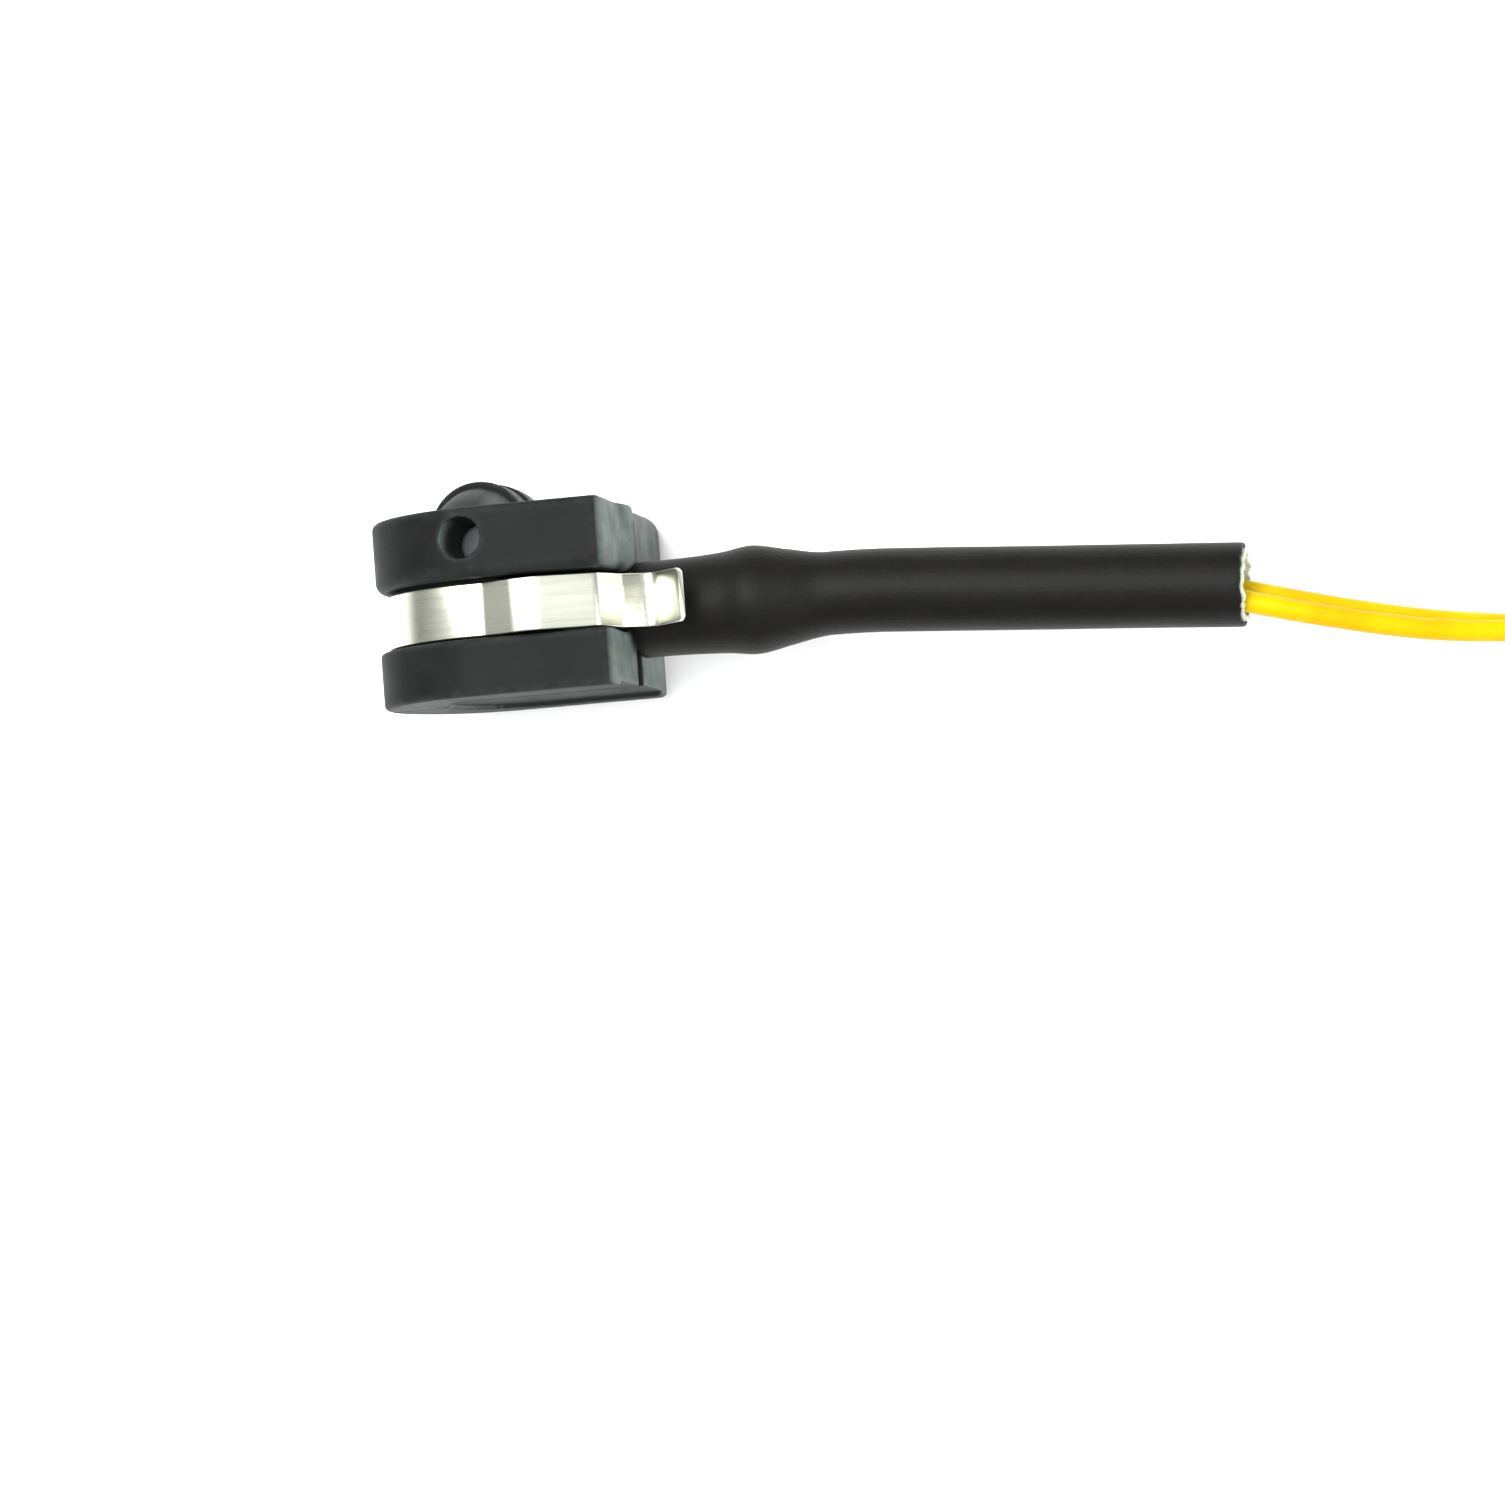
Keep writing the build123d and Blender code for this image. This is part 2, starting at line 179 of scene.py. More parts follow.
class StageSettings(bpy.types.PropertyGroup):
    """Camera and floor."""

    lens: FloatProperty(name="Lens", description="Focal length", default=161.96, subtype="DISTANCE_CAMERA")
    place: FloatVectorProperty(
        name="Camera", description="Place of the camera", default=(0.09912, -0.05217, 0.55827),
        subtype="TRANSLATION",
    )
    turn: FloatVectorProperty(
        name="Turn", description="Tilt, swing and roll of the camera", subtype="EULER",
        default=(math.radians(3.88), math.radians(10.82), math.radians(-4.99)),
    )
    floor: colour("Floor", "Plain pale floor", (0.95, 0.95, 0.95))


# ------------------------------------------------------------------ meshes
def head_point(x, y, z):
    """A point of the head's own frame, given in millimetres, as a place in the shared frame."""
    return HEAD_AT + Vector((x, y, z)) * MM


def new_object(name, mesh):
    """An object at the origin, linked to the scene."""
    piece = bpy.data.objects.new(name, mesh)
    bpy.context.scene.collection.objects.link(piece)
    return piece


def only_material(piece, material):
    """Dresses the whole piece in one material."""
    piece.data.materials.clear()
    piece.data.materials.append(material)


def applied(piece):
    """The piece's evaluated shape as its own plain mesh, with no modifiers left."""
    bpy.context.view_layer.update()
    graph = bpy.context.evaluated_depsgraph_get()
    mesh = bpy.data.meshes.new_from_object(piece.evaluated_get(graph), depsgraph=graph)
    mesh.name = piece.name
    piece.modifiers.clear()
    piece.data = mesh
    return piece


def skin(name, rings, cap=True):
    """A tube of quads through rings of points, capped or closed on itself, with a UV in millimetres."""
    bm = bmesh.new()
    uv = bm.loops.layers.uv.new("along")
    loops = [[bm.verts.new(p) for p in ring] for ring in rings]
    count = len(loops[0])
    along = [0.0]
    for a, b in zip(rings, rings[1:]):
        along.append(along[-1] + (Vector(b[0]) - Vector(a[0])).length)
    around = [0.0]
    for i in range(count):
        step = (Vector(rings[0][(i + 1) % count]) - Vector(rings[0][i])).length
        around.append(around[-1] + step)
    pairs = list(zip(range(len(loops) - 1), range(1, len(loops))))
    if not cap:
        pairs.append((len(loops) - 1, 0))
    for a, b in pairs:
        for i in range(count):
            j = (i + 1) % count
            face = bm.faces.new((loops[a][i], loops[a][j], loops[b][j], loops[b][i]))
            corners = ((a, i), (a, i + 1), (a + 1, i + 1), (a + 1, i))
            for loop, (row, column) in zip(face.loops, corners):
                length = along[min(row, len(along) - 1)]
                loop[uv].uv = (length / MM, around[column] / MM)
    if cap:
        for ring in (loops[0][::-1], loops[-1]):
            bm.faces.new(ring)
    bmesh.ops.recalc_face_normals(bm, faces=bm.faces)
    mesh = bpy.data.meshes.new(name)
    bm.to_mesh(mesh)
    bm.free()
    mesh.shade_smooth()
    mesh.set_sharp_from_angle(angle=math.radians(50))
    return new_object(name, mesh)


def mark_edges(mesh):
    """Stores how far each point bulges out, where an edge is worn, and which faces take a paler tone that is
    partly dust and partly painted light from the side.
    """
    wear_gain = 9.0
    count = len(mesh.vertices)
    co = np.empty(count * 3)
    normal = np.empty(count * 3)
    ends = np.empty(len(mesh.edges) * 2, dtype=np.int64)
    mesh.vertices.foreach_get("co", co)
    mesh.vertex_normals.foreach_get("vector", normal)
    mesh.edges.foreach_get("vertices", ends)
    co, normal, ends = co.reshape(-1, 3), normal.reshape(-1, 3), ends.reshape(-1, 2)
    near = np.bincount(ends.ravel(), minlength=count).clip(1)

    def mean_of_neighbours(values):
        total = np.zeros_like(values)
        np.add.at(total, ends[:, 0], values[ends[:, 1]])
        np.add.at(total, ends[:, 1], values[ends[:, 0]])
        return total / near.reshape((-1,) + (1,) * (values.ndim - 1))

    step = np.linalg.norm(co[ends[:, 0]] - co[ends[:, 1]], axis=1).mean()
    bulge = ((co - mean_of_neighbours(co)) * normal).sum(axis=1) / step
    for _ in range(3):
        bulge = 0.5 * bulge + 0.5 * mean_of_neighbours(bulge)
    # Faces turned to +x (the end, towards the side lamp) and to -y (the back) are marked for a paler tone:
    # partly dust, partly painted light.
    on_the_end = np.clip(1.6 * normal[:, 0] - 0.6, 0, 1)
    on_the_back = np.clip(-0.05 * normal[:, 1], 0, 1)
    for name, values in (("edge", bulge * wear_gain), ("dusty", on_the_end + on_the_back)):
        layer = mesh.attributes.new(name, "FLOAT", "POINT")
        layer.data.foreach_set("value", np.clip(values, 0, 1).astype(np.float32))


def moulded(node_name, name, voxel, passes, material):
    """A moulded piece in place of a CAD node: one even skin with softly rounded edges."""
    bm = bmesh.new()
    bm.from_mesh(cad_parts[node_name].data)
    bmesh.ops.remove_doubles(bm, verts=bm.verts, dist=1e-7)
    bmesh.ops.scale(bm, vec=Vector((1, 1, 1)) / MM, verts=bm.verts)
    mesh = bpy.data.meshes.new(name)
    bm.to_mesh(mesh)
    bm.free()
    piece = new_object(name, mesh)
    remesh = piece.modifiers.new("skin", "REMESH")
    remesh.mode = "VOXEL"
    remesh.voxel_size = voxel
    remesh.use_smooth_shade = True
    smooth = piece.modifiers.new("soften", "SMOOTH")
    smooth.factor = 0.5
    smooth.iterations = passes
    applied(piece)
    piece.data.transform(Matrix.Scale(MM, 4))
    mark_edges(piece.data)
    only_material(piece, material)
    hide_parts(node_name)
    return piece


# ------------------------------------------------------------------ shader tools
def feed(tree, socket, value):
    """Gives a socket a plain value or another node's output."""
    if isinstance(value, bpy.types.NodeSocket):
        tree.links.new(value, socket)
    else:
        socket.default_value = value


def add(tree, kind, inputs=(), **settings):
    """A node with its settings and inputs; an input is a value or another node's output."""
    made = tree.nodes.new(kind)
    for key, value in settings.items():
        setattr(made, key, value)
    for key, value in dict(inputs).items():
        feed(tree, made.inputs[key], value)
    return made


def rgba(tone):
    """An opaque colour from its three values."""
    return (*tone, 1.0)


def ramp(tree, factor, low, high, least=0.0, most=1.0):
    """Stretches low..high of a mask to least..most."""
    span = {"From Min": low, "From Max": high, "To Min": least, "To Max": most}
    return add(tree, "ShaderNodeMapRange", {"Value": factor, **span}).outputs["Result"]


def times(tree, a, b, clamp=False):
    """The product of two values."""
    return add(tree, "ShaderNodeMath", {0: a, 1: b}, operation="MULTIPLY", use_clamp=clamp).outputs[0]


def mixed(tree, factor, a, b):
    """Colour a where the factor is 0 and colour b where it is 1."""
    # The colour sockets of a Mix node share their names with its other types, so they go by number.
    return add(tree, "ShaderNodeMix", {0: factor, 6: a, 7: b}, data_type="RGBA").outputs[2]


def two_tone(tree, shader, value, low, high, first, second):
    """Base colour that goes from one tone to the other as the value goes from low to high."""
    mask = ramp(tree, value, low, high)
    tree.links.new(mixed(tree, mask, rgba(first), rgba(second)), shader.inputs["Base Color"])


def group(name, inputs, outputs):
    """An empty shader group with named inputs and outputs: (tree, its inputs, its output node)."""
    tree = bpy.data.node_groups.new(name, "ShaderNodeTree")
    for label, kind, default in inputs:
        socket = tree.interface.new_socket(label, in_out="INPUT", socket_type=kind)
        socket.default_value = default
    for label, kind in outputs:
        tree.interface.new_socket(label, in_out="OUTPUT", socket_type=kind)
    return tree, tree.nodes.new("NodeGroupInput").outputs, tree.nodes.new("NodeGroupOutput")


def placed(tree, name, inputs):
    """The outputs of a shared group, placed with these values for its inputs."""
    return add(tree, "ShaderNodeGroup", inputs, node_tree=bpy.data.node_groups[name]).outputs


def make_groups():
    """The effects that several finishes share: moulded grain, surface dust mixed with painted side light,
    and drawn streaks.
    """
    tree, given, out = group(
        "Moulded grain",
        [("Scale", "NodeSocketFloat", 4000.0), ("Mottle", "NodeSocketFloat", 300.0)],
        [("Height", "NodeSocketFloat"), ("Tone", "NodeSocketFloat")],
    )
    where = add(tree, "ShaderNodeTexCoord").outputs["Object"]
    fine = add(tree, "ShaderNodeTexNoise", {"Vector": where, "Scale": given["Scale"], "Detail": 4.0})
    pits = add(tree, "ShaderNodeTexVoronoi", {"Vector": where, "Scale": given["Scale"]})
    broad = add(tree, "ShaderNodeTexNoise", {"Vector": where, "Scale": given["Mottle"], "Detail": 5.0})
    both = add(
        tree, "ShaderNodeMath", {0: fine.outputs["Fac"], 1: pits.outputs["Distance"]}, operation="ADD"
    )
    tree.links.new(both.outputs[0], out.inputs["Height"])
    tree.links.new(broad.outputs["Fac"], out.inputs["Tone"])

    tree, given, out = group(
        "Edge wear",
        [("Amount", "NodeSocketFloat", 1.0), ("Breakup", "NodeSocketFloat", 900.0)],
        [("Mask", "NodeSocketFloat"), ("Dust", "NodeSocketFloat")],
    )
    edge = add(tree, "ShaderNodeAttribute", attribute_name="edge").outputs["Fac"]
    where = add(tree, "ShaderNodeTexCoord").outputs["Object"]
    patch = add(tree, "ShaderNodeTexNoise", {"Vector": where, "Scale": given["Breakup"], "Detail": 6.0})
    broken = ramp(tree, patch.outputs["Fac"], 0.25, 0.7)
    worn = times(tree, edge, broken)
    tree.links.new(times(tree, worn, given["Amount"], clamp=True), out.inputs["Mask"])
    # The end and back faces turn paler by their facing: partly dust, partly painted light from the side
    # lamp.
    dusty = add(tree, "ShaderNodeAttribute", attribute_name="dusty").outputs["Fac"]
    smears = add(tree, "ShaderNodeTexNoise", {"Vector": where, "Scale": 420.0, "Detail": 8.0})
    patchy = ramp(tree, smears.outputs["Fac"], 0.3, 0.68, 0.45, 1.0)
    tree.links.new(times(tree, dusty, patchy), out.inputs["Dust"])

    tree, given, out = group(
        "Drawn streaks",
        [("Along", "NodeSocketFloat", 0.15), ("Across", "NodeSocketFloat", 9.0)],
        [("Streaks", "NodeSocketFloat"), ("Height", "NodeSocketFloat")],
    )
    uv = add(tree, "ShaderNodeUVMap", uv_map="along").outputs["UV"]
    parts = add(tree, "ShaderNodeSeparateXYZ", {0: uv}).outputs
    along = times(tree, parts["X"], given["Along"])
    across = times(tree, parts["Y"], given["Across"])
    place = add(tree, "ShaderNodeCombineXYZ", {"X": along, "Y": across})
    lines = add(tree, "ShaderNodeTexNoise", {"Vector": place.outputs[0], "Scale": 1.0, "Detail": 6.0})
    tree.links.new(lines.outputs["Fac"], out.inputs["Streaks"])
    tree.links.new(lines.outputs["Fac"], out.inputs["Height"])


def finish(name, base, rough, **sockets):
    """A material on the Principled shader; returns it with its tree and shader."""
    material = bpy.data.materials.new(name)
    material.use_nodes = True
    tree = material.node_tree
    shader = tree.nodes["Principled BSDF"]
    for key, value in {"Base Color": base, "Roughness": rough, **sockets}.items():
        shader.inputs[key].default_value = value
    return material, tree, shader


def bump(tree, shader, height, strength, distance):
    """Small relief in the shader's normals; distance is its depth in metres."""
    made = add(tree, "ShaderNodeBump", {"Height": height, "Strength": strength, "Distance": distance})
    tree.links.new(made.outputs["Normal"], shader.inputs["Normal"])


def moulded_finish(name, tone, worn, rough, grain=3500.0, depth=0.00002, wear=1.0, dust_and_painted_light=None):
    """Matte moulded plastic: fine grain, a mottled tone and paler rubbed edges."""
    material, tree, shader = finish(name, rgba(tone), rough)
    shader.inputs["Specular IOR Level"].default_value = 0.05
    grained = placed(tree, "Moulded grain", {"Scale": grain, "Mottle": 260.0})
    wearing = placed(tree, "Edge wear", {"Amount": wear, "Breakup": 1100.0})
    tone_mask = ramp(tree, grained["Tone"], 0.3, 0.75)
    paler = tuple(0.72 * a + 0.28 * b for a, b in zip(tone, worn))
    body = mixed(tree, tone_mask, rgba(tone), rgba(paler))
    body = mixed(tree, wearing["Mask"], body, rgba(worn))
    # Painted light: faces turned to the end and back are mixed towards a paler tone, which also stands for
    # dust.
    if dust_and_painted_light:
        body = mixed(tree, wearing["Dust"], body, rgba(dust_and_painted_light))
    tree.links.new(body, shader.inputs["Base Color"])
    spread = ramp(tree, grained["Tone"], 0.25, 0.8, rough - 0.07, rough + 0.1)
    tree.links.new(spread, shader.inputs["Roughness"])
    bump(tree, shader, grained["Height"], 0.35, depth)
    return material


def steel_finish(name, tone):
    """Bright rolled strip with streaks along its length."""
    material, tree, shader = finish(name, rgba(tone), 0.25, Metallic=1.0)
    lines = placed(tree, "Drawn streaks", {"Along": 0.12, "Across": 7.0})
    darker = tuple(0.93 * c for c in tone)
    two_tone(tree, shader, lines["Streaks"], 0.3, 0.7, darker, tone)
    spread = ramp(tree, lines["Streaks"], 0.3, 0.7, 0.26, 0.34)
    tree.links.new(spread, shader.inputs["Roughness"])
    bump(tree, shader, lines["Height"], 0.1, 0.000006)
    return material


def plain_metal(name, tone, rough):
    """Small metal pieces: a faint mottle and grain over the metal."""
    material, tree, shader = finish(name, rgba(tone), rough, Metallic=1.0)
    grained = placed(tree, "Moulded grain", {"Scale": 6000.0, "Mottle": 900.0})
    darker = tuple(0.75 * c for c in tone)
    two_tone(tree, shader, grained["Tone"], 0.3, 0.7, darker, tone)
    bump(tree, shader, grained["Height"], 0.2, 0.00001)
    return material


def sleeve_finish(name, tone):
    """Satin coating that lets the braid beneath show as a faint weave."""
    material, tree, shader = finish(name, rgba(tone), 0.5)
    shader.inputs["Specular IOR Level"].default_value = 0.1
    uv = add(tree, "ShaderNodeUVMap", uv_map="along").outputs["UV"]
    parts = add(tree, "ShaderNodeSeparateXYZ", {0: uv}).outputs
    waves = []
    for sign in (1.0, -1.0):
        lean = add(tree, "ShaderNodeMath", {0: parts["Y"], 1: sign, 2: parts["X"]}, operation="MULTIPLY_ADD")
        turned = times(tree, lean.outputs[0], 7.0)
        waves.append(add(tree, "ShaderNodeMath", {0: turned}, operation="SINE").outputs[0])
    weave = times(tree, *waves)
    grained = placed(tree, "Moulded grain", {"Scale": 2600.0, "Mottle": 420.0})
    height = add(tree, "ShaderNodeMath", {0: weave, 1: 0.35, 2: grained["Height"]}, operation="MULTIPLY_ADD")
    bump(tree, shader, height.outputs[0], 0.3, 0.00003)
    warm = tuple(1.35 * c for c in tone)
    two_tone(tree, shader, grained["Tone"], 0.35, 0.8, tone, warm)
    return material


def braid_finish(name, tone):
    """Pale glass fibre: crossed strands and soft sheen."""
    material, tree, shader = finish(name, rgba(tone), 0.6)
    shader.inputs["Sheen Weight"].default_value = 0.3
    where = add(tree, "ShaderNodeTexCoord").outputs["Object"]
    strands = add(tree, "ShaderNodeTexNoise", {"Vector": where, "Scale": 5200.0, "Detail": 5.0})
    dim = tuple(0.62 * c for c in tone)
    two_tone(tree, shader, strands.outputs["Fac"], 0.3, 0.7, dim, tone)
    bump(tree, shader, strands.outputs["Fac"], 0.6, 0.00004)
    return material


def insulation_finish(name, tone):
    """Extruded insulation: smooth and a little translucent, with a broad mottle and a fine grain."""
    material, tree, shader = finish(name, rgba(tone), 0.24)
    shader.inputs["Subsurface Weight"].default_value = 0.08
    shader.inputs["Subsurface Radius"].default_value = (0.0006, 0.0004, 0.0001)
    shader.inputs["Subsurface Scale"].default_value = 0.6
    shader.inputs["Specular IOR Level"].default_value = 0.06
    shader.inputs["Coat Weight"].default_value = 0.02
    shader.inputs["Coat Roughness"].default_value = 0.12
    grained = placed(tree, "Moulded grain", {"Scale": 1500.0, "Mottle": 180.0})
    deeper = (tone[0] * 0.82, tone[1] * 0.62, tone[2])
    two_tone(tree, shader, grained["Tone"], 0.3, 0.75, deeper, tone)
    bump(tree, shader, grained["Height"], 0.12, 0.00002)
    return material


def rubber_finish(name, tone, rough=0.5):
    """Soft rubber: fine grain and a slightly paler mottle."""
    material, tree, shader = finish(name, rgba(tone), rough)
    grained = placed(tree, "Moulded grain", {"Scale": 3000.0, "Mottle": 500.0})
    paler = tuple(min(1, 1.5 * c + 0.01) for c in tone)
    two_tone(tree, shader, grained["Tone"], 0.35, 0.8, tone, paler)
    bump(tree, shader, grained["Height"], 0.15, 0.00002)
    return material


# ------------------------------------------------------------------ geometry nodes
def geometry_tree(name, inputs):
    """An empty geometry tree with a geometry output and named inputs."""
    tree = bpy.data.node_groups.new(name, "GeometryNodeTree")
    tree.interface.new_socket("Geometry", in_out="OUTPUT", socket_type="NodeSocketGeometry")
    for label, kind in inputs:
        tree.interface.new_socket(label, in_out="INPUT", socket_type=kind)
    return tree, tree.nodes.new("NodeGroupInput").outputs, tree.nodes.new("NodeGroupOutput")


def dressed(tree, instances, material, out):
    """Ends a geometry tree: its copies become real geometry in the material."""
    real = add(tree, "GeometryNodeRealizeInstances", {"Geometry": instances})
    shown = add(
        tree, "GeometryNodeSetMaterial", {"Geometry": real.outputs["Geometry"], "Material": material}
    )
    tree.links.new(shown.outputs["Geometry"], out.inputs["Geometry"])


def grown(name, tree, values):
    """A plain mesh made by a geometry tree with these values for its named inputs."""
    piece = new_object(name, bpy.data.meshes.new(name))
    modifier = piece.modifiers.new("grow", "NODES")
    modifier.node_group = tree
    sockets = {s.name: s.identifier for s in tree.interface.items_tree if s.in_out == "INPUT"}
    for label, value in values.items():
        modifier[sockets[label]] = value
    return applied(piece)


def fray_tree():
    """Loose fibres that stand round a circle, each leaning and curling its own way."""
    tree, given, out = geometry_tree(
        "Frayed end",
        [
            ("Count", "NodeSocketInt"),
            ("Radius", "NodeSocketFloat"),
            ("Length", "NodeSocketFloat"),
            ("Thickness", "NodeSocketFloat"),
            ("Seed", "NodeSocketInt"),
            ("Material", "NodeSocketMaterial"),
        ],
    )
    # Metres that a root is off the circle, metres that it is sunk in the wall, and radians of lean.
    scatter = 0.0002
    sunk = 0.0006
    tilt = 0.35
    ring = add(tree, "GeometryNodeMeshCircle", {"Vertices": given["Count"], "Radius": given["Radius"]})
    jitter = add(
        tree, "FunctionNodeRandomValue",
        {"Min": (-scatter, -scatter, -sunk), "Max": (scatter, scatter, 0.0), "Seed": given["Seed"]},
        data_type="FLOAT_VECTOR",
    )
    loose = add(
        tree, "GeometryNodeSetPosition",
        {"Geometry": ring.outputs["Mesh"], "Offset": jitter.outputs["Value"]},
    )
    top = add(tree, "ShaderNodeCombineXYZ", {"Z": given["Length"]})
    fibre = add(
        tree, "GeometryNodeCurvePrimitiveBezierSegment",
        {"Start": (0, 0, 0), "Start Handle": (0, 0, 0.0003), "End Handle": (0.00012, 0, 0.0005),
         "End": top.outputs[0], "Resolution": 5},
    )
    profile = add(tree, "GeometryNodeCurvePrimitiveCircle", {"Resolution": 4, "Radius": given["Thickness"]})
    thread = add(
        tree, "GeometryNodeCurveToMesh",
        {"Curve": fibre.outputs["Curve"], "Profile Curve": profile.outputs["Curve"], "Fill Caps": True},
    )
    lean = add(
        tree, "FunctionNodeRandomValue",
        {"Min": (-tilt, -tilt, -3.14), "Max": (tilt, tilt, 3.14), "Seed": given["Seed"]},
        data_type="FLOAT_VECTOR",
    )
    size = add(
        tree, "FunctionNodeRandomValue", {2: 0.35, 3: 1.0, "Seed": given["Seed"]}, data_type="FLOAT"
    )
    threads = add(
        tree, "GeometryNodeInstanceOnPoints",
        {"Points": loose.outputs["Geometry"], "Instance": thread.outputs["Mesh"],
         "Rotation": lean.outputs["Value"], "Scale": size.outputs[1]},
    )
    dressed(tree, threads.outputs["Instances"], given["Material"], out)
    return tree


def rib_tree():
    """A row of rounded ribs on a pad, as on a thumb grip."""
    tree, given, out = geometry_tree(
        "Grip ribs",
        [
            ("Count", "NodeSocketInt"),
            ("Pitch", "NodeSocketFloat"),
            ("Length", "NodeSocketFloat"),
            ("Radius", "NodeSocketFloat"),
            ("Place", "NodeSocketVector"),
            ("Material", "NodeSocketMaterial"),
        ],
    )
    step = add(tree, "ShaderNodeCombineXYZ", {"X": given["Pitch"]})
    row = add(
        tree, "GeometryNodeMeshLine",
        {"Count": given["Count"], "Start Location": given["Place"], "Offset": step.outputs[0]},
    )
    rib = add(
        tree, "GeometryNodeMeshCylinder",
        {"Vertices": 16, "Radius": given["Radius"], "Depth": given["Length"]},
    )
    lying = add(
        tree, "GeometryNodeTransform",
        {"Geometry": rib.outputs["Mesh"], "Rotation": (math.pi / 2, 0, 0)},
    )
    ribs = add(
        tree, "GeometryNodeInstanceOnPoints",
        {"Points": row.outputs["Mesh"], "Instance": lying.outputs["Geometry"]},
    )
    dressed(tree, ribs.outputs["Instances"], given["Material"], out)
    return tree


# ------------------------------------------------------------------ stage
class SENSOR_OT_stage(bpy.types.Operator):
    """Sets a pale floor, soft studio light and the camera"""

    bl_idname = "sensor.stage"
    bl_label = "Stage"

    def execute(self, context):
        settings = context.scene.sensor_stage
        half = 1.5
        corners = [(-half, -half, 0), (half, -half, 0), (half, half, 0), (-half, half, 0)]
        mesh = bpy.data.meshes.new("floor")
        mesh.from_pydata(corners, [], [(0, 1, 2, 3)])
        floor = new_object("floor", mesh)
        material, tree, shader = finish("Pale floor", rgba(settings.floor), 0.7)
        grained = placed(tree, "Moulded grain", {"Scale": 900.0, "Mottle": 8.0})
        bump(tree, shader, grained["Height"], 0.05, 0.00002)
        only_material(floor, material)
        self.lamp("key", (-0.3, 0.4, 0.8), 0.6, 7.0)
        self.lamp("side", (0.7, -0.3, 0.4), 0.5, 7.0)
        self.lamp("top", (-0.18, 0.1, 1.0), 0.5, 9.0)
        self.sky(context.scene)
        self.camera(context.scene, settings)
        context.scene.view_settings.view_transform = "Standard"
        return {"FINISHED"}

    def sky(self, scene):
        """A world that is dim near the horizon and bright overhead."""
        world = scene.world or bpy.data.worlds.new("studio")
        scene.world = world
        world.use_nodes = True
        tree = world.node_tree
        background = tree.nodes["Background"]
        background.inputs["Color"].default_value = (0.97, 0.98, 1.0, 1.0)
        heading = add(tree, "ShaderNodeTexCoord").outputs["Generated"]
        height = add(tree, "ShaderNodeSeparateXYZ", {0: heading}).outputs["Z"]
        strength = ramp(tree, height, 0.15, 0.85, 0.2, 1.0)
        tree.links.new(strength, background.inputs["Strength"])

    def camera(self, scene, settings):
        """A long lens that looks down on the sensor."""
        camera = bpy.data.objects.new("camera", bpy.data.cameras.new("camera"))
        scene.collection.objects.link(camera)
        camera.data.lens = settings.lens
        camera.data.clip_start = 0.01
        tilt, swing, roll = (Matrix.Rotation(angle, 4, axis) for angle, axis in zip(settings.turn, "XYZ"))
        camera.matrix_world = Matrix.Translation(settings.place) @ tilt @ swing @ roll
        scene.camera = camera

    def lamp(self, name, place, size, power):
        """A square lamp aimed at the sensor."""
        light = bpy.data.lights.new(name, "AREA")
        light.size = size
        light.energy = power
        lamp = bpy.data.objects.new(name, light)
        bpy.context.scene.collection.objects.link(lamp)
        aim = (Vector((0, 0, 0)) - Vector(place)).to_track_quat("-Z", "Y")
        lamp.matrix_world = Matrix.Translation(place) @ aim.to_matrix().to_4x4()


# ------------------------------------------------------------------ head
class SENSOR_OT_head(bpy.types.Operator):
    """Builds the two moulded halves of the head and dresses what lies inside them"""

    bl_idname = "sensor.head"
    bl_label = "Head"

    def execute(self, context):
        settings = context.scene.sensor_head
        # Paler tone for the end and back faces: dust and painted side light.
        dust_and_painted_light = tuple(settings.dust_and_painted_light)
        plastic = moulded_finish("Head plastic", settings.plastic, settings.worn, 0.5, dust_and_painted_light=dust_and_painted_light)
        for side in ("near", "far"):
            node_name = f"body_half_{side}"
            piece = moulded(node_name, f"head_{side}", settings.voxel, settings.soften, plastic)
            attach(piece, "sensor")
        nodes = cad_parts
        grey = moulded_finish("Insulator", settings.insulator, (0.6, 0.6, 0.6), 0.55, wear=0.0)
        only_material(nodes["contact_insulator"], grey)
        copper = plain_metal("Copper", (0.83, 0.42, 0.25), 0.3)
        tinned = plain_metal("Tinned brass", (0.74, 0.70, 0.58), 0.32)
        for name in ("contact_loop", "lead_a_conductor", "lead_b_conductor"):
            only_material(nodes[name], copper)
        for name in ("crimp_ferrule_a", "crimp_ferrule_b", "terminal_a", "terminal_b"):
            only_material(nodes[name], tinned)
        only_material(nodes["neck_seal"], rubber_finish("Neck rubber", (0.02, 0.02, 0.02)))
        return {"FINISHED"}


# ------------------------------------------------------------------ clip
def rounded_line(corners, radii, step):
    """Points along straight runs with their corners turned into arcs, all in one plane."""
    points = [Vector(corners[0])]
    for before, corner, after, radius in zip(corners, corners[1:], corners[2:], radii):
        corner = Vector(corner)
        back = (Vector(before) - corner).normalized()
        ahead = (Vector(after) - corner).normalized()
        half = back.angle(ahead) / 2
        centre = corner + (back + ahead).normalized() * (radius / math.sin(half))
        start = corner + back * (radius / math.tan(half))
        end = corner + ahead * (radius / math.tan(half))
        turn = (start - centre).angle_signed(end - centre)
        count = max(4, int(abs(turn) * radius / step))
        for i in range(count + 1):
            spoke = (start - centre).copy()
            spoke.rotate(Matrix.Rotation(-turn * i / count, 2))
            points.append(centre + spoke)
    points.append(Vector(corners[-1]))
    line = [points[0]]
    for p in points[1:]:
        gap = (p - line[-1]).length
        count = max(1, int(gap / step))
        start = line[-1]
        if gap > 1e-6:
            line += [start.lerp(p, (i + 1) / count) for i in range(count)]
    return line


